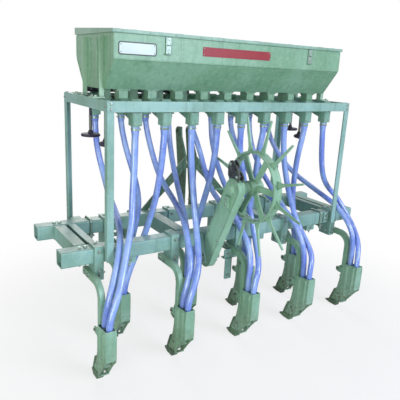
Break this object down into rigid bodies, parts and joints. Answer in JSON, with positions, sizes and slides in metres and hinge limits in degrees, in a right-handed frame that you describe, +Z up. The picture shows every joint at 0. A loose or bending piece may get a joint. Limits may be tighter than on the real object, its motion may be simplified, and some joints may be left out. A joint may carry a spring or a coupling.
{
  "type": "seed drill",
  "caption": "Tractor-mounted seed and fertilizer drill: tynes on two toolbars, a lidded hopper on a raised frame, blue drop tubes and a spiked ground wheel on a swinging arm.",
  "frame": {"origin": "on the ground under the middle of the whole outline, at the height of the tyne points", "axes": "+Y is forward, towards the tractor; +X is to the machine's right, along the toolbars; +Z is up"},
  "size_m": [1.903, 1.1748, 1.6093],
  "materials": {
    "green_paint": "satin green machine paint",
    "bare_steel": "dull bare steel",
    "blue_tube": "translucent blue plastic tube",
    "black_plastic": "matte black plastic"
  },
  "bodies": {
    "frame": {"arm_bracket": "green_paint", "centre_members": "green_paint", "end_rails": "green_paint", "fertilizer_cups": "green_paint", "fertilizer_feed_shaft": "bare_steel", "fertilizer_throats": "green_paint", "fertilizer_tubes": "blue_tube", "front_boots": "green_paint", "front_clamps": "green_paint", "front_legs": "green_paint", "front_points": "bare_steel", "front_toolbar": "green_paint", "hasps": "green_paint", "hinge_barrels": "green_paint", "hitch_pins": "bare_steel", "hitch_plates": "green_paint", "hopper": "green_paint", "hopper_divider": "green_paint", "hopper_stands": "green_paint", "long_rails": "green_paint", "mast": "green_paint", "mast_braces": "green_paint", "pivot_pin": "bare_steel", "posts": "green_paint", "rate_adjusters": "black_plastic", "rear_boots": "green_paint", "rear_clamps": "green_paint", "rear_legs": "green_paint", "rear_points": "bare_steel", "rear_toolbar": "green_paint", "seed_cups": "green_paint", "seed_feed_shaft": "bare_steel", "seed_throats": "green_paint", "seed_tubes": "blue_tube", "side_members": "green_paint", "spare_clamp_blocks": "green_paint"},
    "wheel_arm": {"wheel_arm": "green_paint", "chain_case": "green_paint"},
    "ground_wheel": {"ground_wheel": "green_paint", "wheel_axle": "bare_steel"},
    "lid": {"lid": "green_paint", "hinge_knuckles": "green_paint", "hinge_pins": "bare_steel"}
  },
  "joints": [
    {"name": "lid_hinge", "type": "hinge", "parent": "frame", "child": "lid", "pos_m": [0, 0.49886, 1.58], "axis": [-1, 0, 0], "range_deg": [0, 105]},
    {"name": "wheel_arm_swing", "type": "hinge", "parent": "frame", "child": "wheel_arm", "pos_m": [0, -0.05814, 0.49], "axis": [1, 0, 0], "range_deg": [0, 76]},
    {"name": "ground_wheel_spin", "type": "hinge", "parent": "wheel_arm", "child": "ground_wheel", "pos_m": [-0.08, -0.25791, 0.90325], "axis": [1, 0, 0], "continuous": true}
  ]
}
